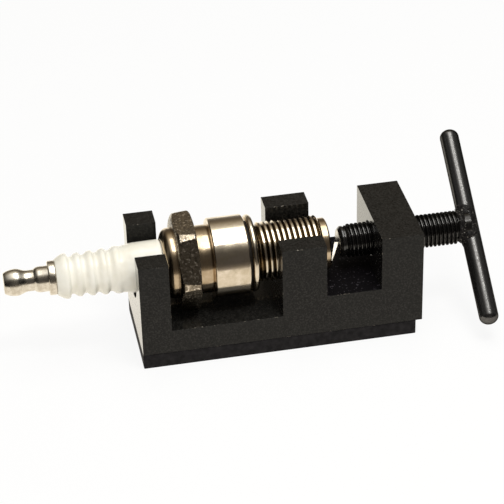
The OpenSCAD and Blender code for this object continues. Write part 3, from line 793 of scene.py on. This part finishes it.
class GAPTOOL_OT_terminal(Operator):
    """Turn the terminal nut"""

    bl_idname = "gaptool.terminal"
    bl_label = "Terminal nut"

    def execute(self, context):
        # A whiter nickel than the shell's, with broad soft highlights
        plate = finish(
            "terminal_nickel", linear("#CFC6B6"), linear("#EAE3D6"), 1.2, 1.0, (0.17, 0.3), 0.9, 0.003
        )
        nut = turned("snap_terminal_nut", [
            (0, 0), (0, 2.25), (0.07, 2.42), (0.3, 2.58), (0.7, 2.75), (1.2, 2.92), (1.8, 3.06),
            (2.35, 3.13), (2.8, 3.15), (3.2, 3.11), (3.6, 3.01), (4.1, 2.82), (4.6, 2.63), (5.0, 2.51),
            (5.4, 2.45), (7.0, 2.45), (7.04, 2.52), (7.2, 2.66), (7.5, 2.83), (7.8, 2.95), (8.1, 3.0),
            (10.3, 3.0), (10.3, 3.85), (10.45, 4.0), (11.85, 4.0), (12.0, 3.85), (12.0, 1.53),
            (1.7, 1.53), (1.7, 0)
        ], axis_point(NUT_X), closed=False)
        round_edges(nut, 0.07 * MM, 2, 35)
        dress(nut, "plug", "terminal_plate", [plate], "terminal_nut")
        return {"FINISHED"}


class GAPTOOL_OT_electrodes(Operator):
    """Shape the centre electrode and the bent ground strap"""

    bl_idname = "gaptool.electrodes"
    bl_label = "Electrodes"

    def execute(self, context):
        # Nickel alloy, bare and a little greyer than the plate
        alloy = finish(
            "electrode_nickel_alloy", linear("#AFA99E"), linear("#CAC4B8"), 1.0, 1.0, (0.36, 0.48), 0.3, 0.004
        )
        strap = copy_of("ground_electrode", "bent_ground_strap")
        # The frame's strap is cut shorter and narrower, its bend is drawn in, and it is turned on the rim
        rim, (low, high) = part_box("plug_shell")[1].x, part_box("ground_electrode")
        shorter, narrower, drawn_in, past_rim = 1.3 * MM, 0.85, 1.25 * MM, 1.4 * MM
        turn = Matrix.Rotation(math.radians(21), 3, "X")
        for vertex in strap.data.vertices:
            along = (vertex.co.y - low.y) / (high.y - low.y)
            vertex.co.y -= shorter * along
            vertex.co.z = AXIS_Z + (vertex.co.z - AXIS_Z) * narrower
            clear = min(max((vertex.co.x - rim) / past_rim, 0), 1)
            vertex.co.x -= drawn_in * clear * (1 - along)
            middle = axis_point(vertex.co.x)
            vertex.co = middle + turn @ (vertex.co - middle)
        round_edges(strap, 0.24 * MM, 4, 40)
        dress(strap, "plug", "electrode_alloy", [alloy], "ground_electrode")
        tip = copy_of("centre_electrode", "centre_electrode_pin")
        round_edges(tip, 0.06 * MM, 2, 40)
        dress(tip, "plug", "electrode_alloy", [alloy], "centre_electrode")
        return {"FINISHED"}


class GAPTOOL_OT_inner_parts(Operator):
    """Finish the parts inside the plug, which keep their CAD shapes"""

    bl_idname = "gaptool.inner_parts"
    bl_label = "Inner parts"

    def execute(self, context):
        # Cold drawn steel, unplated: a plain grey with a soft shine
        steel = finish(
            "plain_cold_drawn_steel", linear("#8C8983"), linear("#A8A59F"), 1.5, 1.0, (0.3, 0.42), 0.3, 0.004
        )
        # Pressed powder: chalky and quite matt
        talc = finish(
            "pressed_talc", linear("#DAD5C8"), linear("#EDE9DF"), 0.6, 0.0, (0.85, 0.95), 0.15, 0.02
        )
        # Soft copper: a clean pink metal
        copper = finish(
            "soft_copper", linear("#B87450"), linear("#D79370"), 1.5, 1.0, (0.25, 0.36), 0.3, 0.004
        )
        # Glass melted with copper powder: brown, with a wet gloss
        glass = finish(
            "copper_filled_glass", linear("#4A332A"), linear("#6B4B3C"), 0.5, 0.0, (0.2, 0.35), 0.3, 0.006
        )
        # Fired carbon and clay: a dull grey black
        carbon = finish(
            "carbon_resistor", linear("#232324"), linear("#323234"), 0.5, 0.0, (0.6, 0.75), 0.2, 0.01
        )
        kept = {
            "terminal_stud": steel, "packing_ring_upper": steel, "packing_ring_lower": steel,
            "talc_fill": talc, "seat_washer": copper, "copper_core": copper, "glass_seal_upper": glass,
            "glass_seal_lower": glass, "resistor": carbon,
        }
        for node, material in kept.items():
            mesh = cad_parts[node].data
            mesh.materials.clear()
            mesh.materials.append(material)
        return {"FINISHED"}


def floor_paint(colour):
    """Matt paint that is mostly seen as plain light, so that it is white and still keeps a shadow; what metal
    mirrors of it is painted light.
    """
    paint = bpy.data.materials.new("pale_matt_floor")
    paint.use_nodes = True
    tree = paint.node_tree
    tree.nodes.clear()
    matt = add(tree, "BsdfDiffuse", {"Color": colour})
    place = add(tree, "SeparateXYZ", {0: add(tree, "TexCoord").outputs["Object"]})
    # Metal sees painted light in the floor: a glow that is warm in front of the tool and brighter and paler
    # behind it
    depth = add(tree, "MapRange", {"Value": place.outputs["Y"], "From Min": -20 * MM, "From Max": 50 * MM})
    mirrored = add(tree, "ValToRGB", {"Fac": depth.outputs[0]}, [
        (0, (1.03, 0.96, 0.85, 1)), (1, (1.32, 1.25, 1.08, 1))
    ])
    # Painted shade: the glow darkens beyond both ends of the tool, as if cards stood there, so bright metal
    # has dark sides
    side = add(tree, "Math", {0: place.outputs["X"], 1: 40 * MM}, operation="ADD")
    side = add(tree, "Math", {0: side.outputs[0]}, operation="ABSOLUTE")
    painted_end_shade = add(tree, "MapRange", {
        "Value": side.outputs[0], "From Min": 85 * MM, "From Max": 200 * MM, "To Min": 1.0, "To Max": 0.15
    })
    mirrored = add(tree, "MixRGB", {
        0: 1.0, 1: mirrored.outputs[0], 2: painted_end_shade.outputs[0]
    }, blend_type="MULTIPLY")
    ray = add(tree, "LightPath").outputs
    shade = add(tree, "MixRGB", {0: ray["Is Camera Ray"], 1: mirrored.outputs[0], 2: (1, 1, 1, 1)})
    white = add(tree, "Emission", {"Color": shade.outputs[0], "Strength": 1.0})
    seen = add(tree, "Math", {0: ray["Is Camera Ray"], 1: ray["Is Glossy Ray"]}, operation="MAXIMUM")
    seen = add(tree, "Math", {0: seen.outputs[0], 1: ray["Is Transmission Ray"]}, operation="MAXIMUM")
    # The last tenth stays paint, and takes the shadow
    share = add(tree, "Math", {0: seen.outputs[0], 1: 0.9}, operation="MULTIPLY")
    mix = add(tree, "MixShader", {0: share.outputs[0], 1: matt.outputs[0], 2: white.outputs[0]})
    add(tree, "OutputMaterial", {"Surface": mix.outputs[0]})
    return paint


def studio_world():
    """A dim room with a pale ceiling, which lights the tool. The camera and glass see plain white instead."""
    world = bpy.data.worlds.new("soft_studio")
    world.use_nodes = True
    tree = world.node_tree
    tree.nodes.clear()
    way = add(tree, "SeparateXYZ", {0: add(tree, "TexCoord").outputs["Generated"]})
    front = add(tree, "Math", {0: way.outputs["Y"], 1: -1.0}, operation="MULTIPLY")
    angle = add(tree, "Math", {0: way.outputs["Z"], 1: front.outputs[0]}, operation="ARCTAN2")
    share = add(tree, "MapRange", {
        "Value": angle.outputs[0], "From Min": -math.pi, "From Max": math.pi, "To Min": 0.0, "To Max": 1.0
    })
    # Shares of a turn about the long axis: 0 and 1 are the back, 0.25 is below, 0.5 the front and 0.75 above
    dark, bright, back = (0.078, 0.071, 0.064, 1), (1.2, 1.18, 1.12, 1), (0.3, 0.28, 0.25, 1)
    room = add(tree, "ValToRGB", {"Fac": share.outputs[0]}, [
        (0.0, back), (0.25, dark), (0.478, (0.35, 0.31, 0.26, 1)), (0.5, (0.15, 0.13, 0.11, 1)),
        (0.522, dark), (0.622, dark), (0.65, (0.16, 0.15, 0.13, 1)), (0.68, (0.42, 0.4, 0.36, 1)),
        (0.712, bright), (0.815, bright), (0.844, (0.7, 0.66, 0.57, 1)), (0.883, (0.42, 0.37, 0.29, 1)),
        (0.906, (0.22, 0.185, 0.14, 1)), (0.93, (0.14, 0.115, 0.085, 1)), (0.958, (0.12, 0.1, 0.08, 1)),
        (1.0, back)
    ])
    # It grows dark towards both ends of the tool
    side = add(tree, "Math", {0: way.outputs["X"]}, operation="ABSOLUTE")
    level = add(tree, "MapRange", {
        "Value": side.outputs[0], "From Min": 0.22, "From Max": 0.6, "To Min": 1.0, "To Max": 0.1
    })
    soft = add(tree, "Background", {"Color": room.outputs["Color"], "Strength": level.outputs["Result"]})
    white = add(tree, "Background", {"Color": (1, 1, 1, 1), "Strength": 1.0})
    # Glossy rays see the room itself, whose pale ceiling draws the highlights on the metal
    ray = add(tree, "LightPath").outputs
    seen = add(tree, "Math", {0: ray["Is Camera Ray"], 1: ray["Is Transmission Ray"]}, operation="MAXIMUM")
    mix = add(tree, "MixShader", {0: seen.outputs[0], 1: soft.outputs[0], 2: white.outputs[0]})
    add(tree, "OutputWorld", {"Surface": mix.outputs[0]})
    return world


def hang_lamp(name, place, aim, size, watts, colour, mirrored):
    """A rectangular lamp that the camera never sees, and that metal mirrors if asked to."""
    deselect()
    bpy.ops.object.light_add(type="AREA", location=place)
    lamp = bpy.context.object
    lamp.name = name
    lamp.rotation_euler = (Vector(place) - Vector(aim)).to_track_quat("Z", "Y").to_euler()
    lamp.data.shape = "RECTANGLE"
    lamp.data.size, lamp.data.size_y = size
    lamp.data.energy, lamp.data.color = watts, colour
    lamp.visible_camera, lamp.visible_glossy = False, mirrored


def place_camera(scene):
    """Sets up the camera of the photo, which was fitted to the block's corners and the plug's thread."""
    eye = Vector((-0.074270, -0.387204, 0.272366))
    turn, lift, roll = (math.radians(angle) for angle in (-10.1661, 32.6374, -1.6358))
    backward = Vector((math.sin(turn) * math.cos(lift), -math.cos(turn) * math.cos(lift), math.sin(lift)))
    level = Vector((math.cos(turn), math.sin(turn), 0))
    over = backward.cross(level)
    right = math.cos(roll) * level + math.sin(roll) * over
    upward = -math.sin(roll) * level + math.cos(roll) * over
    lens = bpy.data.cameras.new("camera")
    lens.sensor_width = 36
    lens.lens = 142.522
    lens.clip_start = 0.01
    camera = bpy.data.objects.new("camera", lens)
    camera.matrix_world = Matrix.Translation(eye) @ Matrix((right, upward, backward)).transposed().to_4x4()
    scene.collection.objects.link(camera)
    scene.camera = camera


class GAPTOOL_OT_stage(Operator):
    """Set the pale floor, the soft studio light and the camera"""

    bl_idname = "gaptool.stage"
    bl_label = "Stage"

    def execute(self, context):
        finishes, scene = context.scene.gap_tool_finishes, context.scene
        deselect()
        # The floor reaches much further behind the tool than in front of it
        bpy.ops.mesh.primitive_plane_add(size=1, location=(0, 0.62, 0))
        floor = context.object
        floor.name = "pale_floor"
        floor.scale = (3, 1.56, 1)
        bpy.ops.object.transform_apply(location=True, rotation=True, scale=True)
        floor.data.materials.append(floor_paint(finishes.floor))
        scene.world = studio_world()
        daylight, warm = (1, 1, 0.98), (1, 0.96, 0.9)
        hang_lamp("overhead_softbox", (0.04, 0.02, 0.47), (0.04, 0.02, 0), (0.24, 0.39), 0.8, daylight, True)
        hang_lamp("hot_key", (0.09, -0.13, 0.47), (0.09, -0.13, 0), (0.15, 0.1), 0.85, daylight, True)
        hang_lamp("front_fill", (-0.08, -0.6, 0.25), (0, 0, 0.02), (0.6, 0.3), 1.6, warm, False)
        place_camera(scene)
        scene.view_settings.view_transform = "Standard"
        return {"FINISHED"}


OPERATORS = (
    GAPTOOL_OT_stage, GAPTOOL_OT_block, GAPTOOL_OT_base_strip, GAPTOOL_OT_nose, GAPTOOL_OT_screw,
    GAPTOOL_OT_t_bar, GAPTOOL_OT_weld, GAPTOOL_OT_plug_shell, GAPTOOL_OT_gasket, GAPTOOL_OT_insulator,
    GAPTOOL_OT_terminal, GAPTOOL_OT_electrodes, GAPTOOL_OT_inner_parts,
)


class GAPTOOL_PT_sidebar(Panel):
    """Lists the sizes, the colours and one button for each piece"""

    bl_label = "Gap tool"
    bl_idname = "GAPTOOL_PT_sidebar"
    bl_space_type = "VIEW_3D"
    bl_region_type = "UI"
    bl_category = "Gap tool"

    def draw(self, context):
        for group in (context.scene.gap_tool_sizes, context.scene.gap_tool_finishes):
            for name in group.__annotations__:
                self.layout.prop(group, name)
        for operator in OPERATORS:
            self.layout.operator(operator.bl_idname)


CLASSES = (GapToolSizes, GapToolFinishes, *OPERATORS, GAPTOOL_PT_sidebar)


def register():
    for cls in CLASSES:
        bpy.utils.register_class(cls)
    bpy.types.Scene.gap_tool_sizes = PointerProperty(type=GapToolSizes)
    bpy.types.Scene.gap_tool_finishes = PointerProperty(type=GapToolFinishes)


def unregister():
    del bpy.types.Scene.gap_tool_finishes
    del bpy.types.Scene.gap_tool_sizes
    for cls in reversed(CLASSES):
        bpy.utils.unregister_class(cls)


def main():
    register()
    for operator in OPERATORS:
        group, name = operator.bl_idname.split(".")
        getattr(getattr(bpy.ops, group), name)()


if __name__ == "__main__":
    main()
